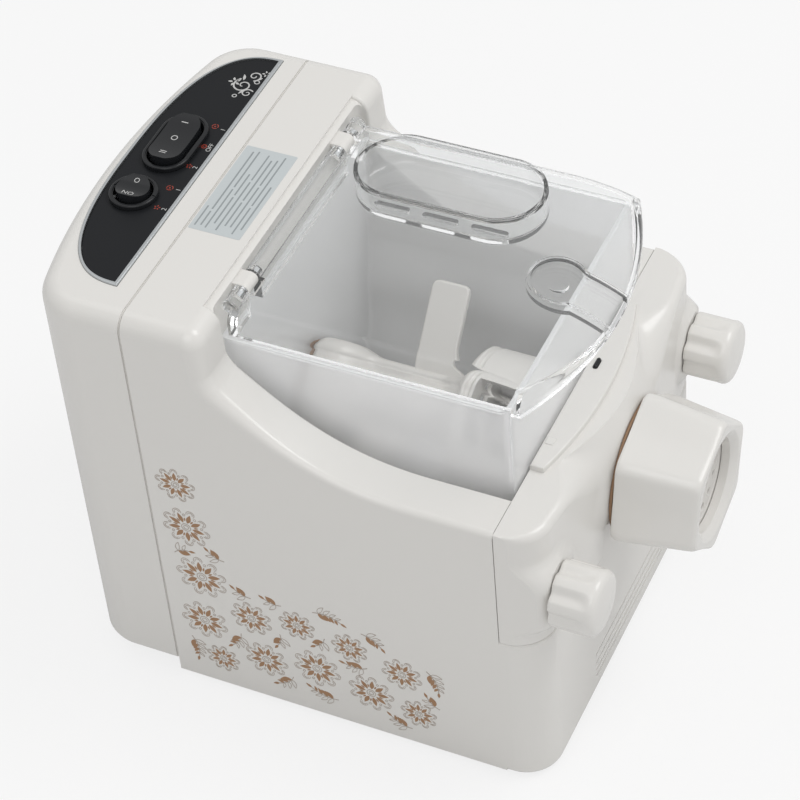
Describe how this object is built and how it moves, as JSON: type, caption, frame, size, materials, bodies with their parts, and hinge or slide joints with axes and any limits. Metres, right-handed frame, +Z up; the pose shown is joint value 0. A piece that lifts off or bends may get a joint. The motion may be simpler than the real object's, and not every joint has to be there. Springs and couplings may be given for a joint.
{
  "type": "electric noodle maker",
  "caption": "Worktop appliance that mixes dough in a clear lidded bucket and presses it through a round die held by a large nut at the front.",
  "frame": {"origin": "under the middle of the whole length, on the surface that the feet stand on", "axes": "+Z up, -Y towards the die nut at the front, +X towards the pouring basin side"},
  "size_m": [0.2012, 0.3074, 0.2444],
  "materials": {
    "shell": "warm white moulded plastic, soft gloss",
    "clear": "clear moulded plastic",
    "black": "glossy black plastic",
    "silver": "satin silver plated plastic",
    "die": "off-white food-grade plastic",
    "steel": "plain steel",
    "rubber": "dark grey rubber",
    "seal": "tan silicone",
    "gear": "natural nylon",
    "motor": "zinc coated steel can",
    "board": "green laminate"
  },
  "bodies": {
    "base": {"main_housing": "shell", "base_plate": "shell", "rear_cover": "shell", "front_cover": "shell", "rear_vent_grille": "shell", "mixing_bucket": "clear", "control_panel": "black", "power_inlet": "black", "power_bezel": "black", "program_bezel": "black", "panel_trim": "silver", "extrusion_barrel": "die", "die_plate": "die", "lid_hinge_pin_left": "steel", "lid_hinge_pin_right": "steel", "stud_left": "steel", "stud_right": "steel", "shaft_bearing": "steel", "middle_axle": "steel", "power_rocker_pin": "steel", "program_rocker_pin": "steel", "base_screw_1": "steel", "base_screw_2": "steel", "base_screw_3": "steel", "base_screw_4": "steel", "foot_1": "rubber", "foot_2": "rubber", "foot_3": "rubber", "foot_4": "rubber", "barrel_seal": "seal", "shaft_seal": "seal", "gearbox_case": "gear", "gearbox_cover": "gear", "motor_can": "motor", "circuit_board": "board"},
    "lid": {"lid": "clear"},
    "drive_line": {"drive_shaft": "steel", "output_gear": "gear", "stirring_rod": "die", "auger": "die"},
    "middle": {"middle_gear": "gear"},
    "rotor": {"motor_rotor": "steel", "cooling_fan": "black"},
    "nut": {"die_nut": "shell"},
    "left_knob": {"knob_left": "shell"},
    "right_knob": {"knob_right": "shell"},
    "power_switch": {"power_rocker": "black"},
    "program_switch": {"program_rocker": "black"},
    "interlock": {"interlock_plunger": "black"}
  },
  "joints": [
    {"name": "lid_hinge", "type": "hinge", "parent": "base", "child": "lid", "pos_m": [0, 0.0518, 0.2305], "axis": [-1, 0, 0], "range_deg": [0, 95]},
    {"name": "motor_spin", "type": "hinge", "parent": "base", "child": "rotor", "pos_m": [0.01921, 0.1043, 0.06434], "axis": [0, 1, 0], "continuous": true},
    {"name": "middle_spin", "type": "hinge", "parent": "base", "child": "middle", "pos_m": [-0.03579, 0.0743, 0.07611], "axis": [0, 1, 0], "continuous": true},
    {"name": "drive_spin", "type": "hinge", "parent": "base", "child": "drive_line", "pos_m": [0, -0.0057, 0.1252], "axis": [0, 1, 0], "continuous": true},
    {"name": "nut_spin", "type": "hinge", "parent": "base", "child": "nut", "pos_m": [0, -0.1357, 0.1252], "axis": [0, -1, 0], "continuous": true},
    {"name": "left_knob_spin", "type": "hinge", "parent": "base", "child": "left_knob", "pos_m": [-0.0853, -0.1207, 0.1252], "axis": [0, -1, 0], "continuous": true},
    {"name": "right_knob_spin", "type": "hinge", "parent": "base", "child": "right_knob", "pos_m": [0.0853, -0.1207, 0.1252], "axis": [0, -1, 0], "continuous": true},
    {"name": "power_tilt", "type": "hinge", "parent": "base", "child": "power_switch", "pos_m": [-0.022, 0.1232, 0.2342], "axis": [0, 1, 0], "range_deg": [-8, 8]},
    {"name": "program_tilt", "type": "hinge", "parent": "base", "child": "program_switch", "pos_m": [0.016, 0.1212, 0.2342], "axis": [0, 1, 0], "range_deg": [-8, 8]},
    {"name": "interlock_press", "type": "slide", "parent": "base", "child": "interlock", "axis": [0, 0, -1], "range_m": [0, 0.0025], "stiffness_N_per_m": 200}
  ],
  "couplings": [
    {"joint": "middle_spin", "follows": "motor_spin", "ratio": -0.31579},
    {"joint": "drive_spin", "follows": "motor_spin", "ratio": 0.090226}
  ]
}
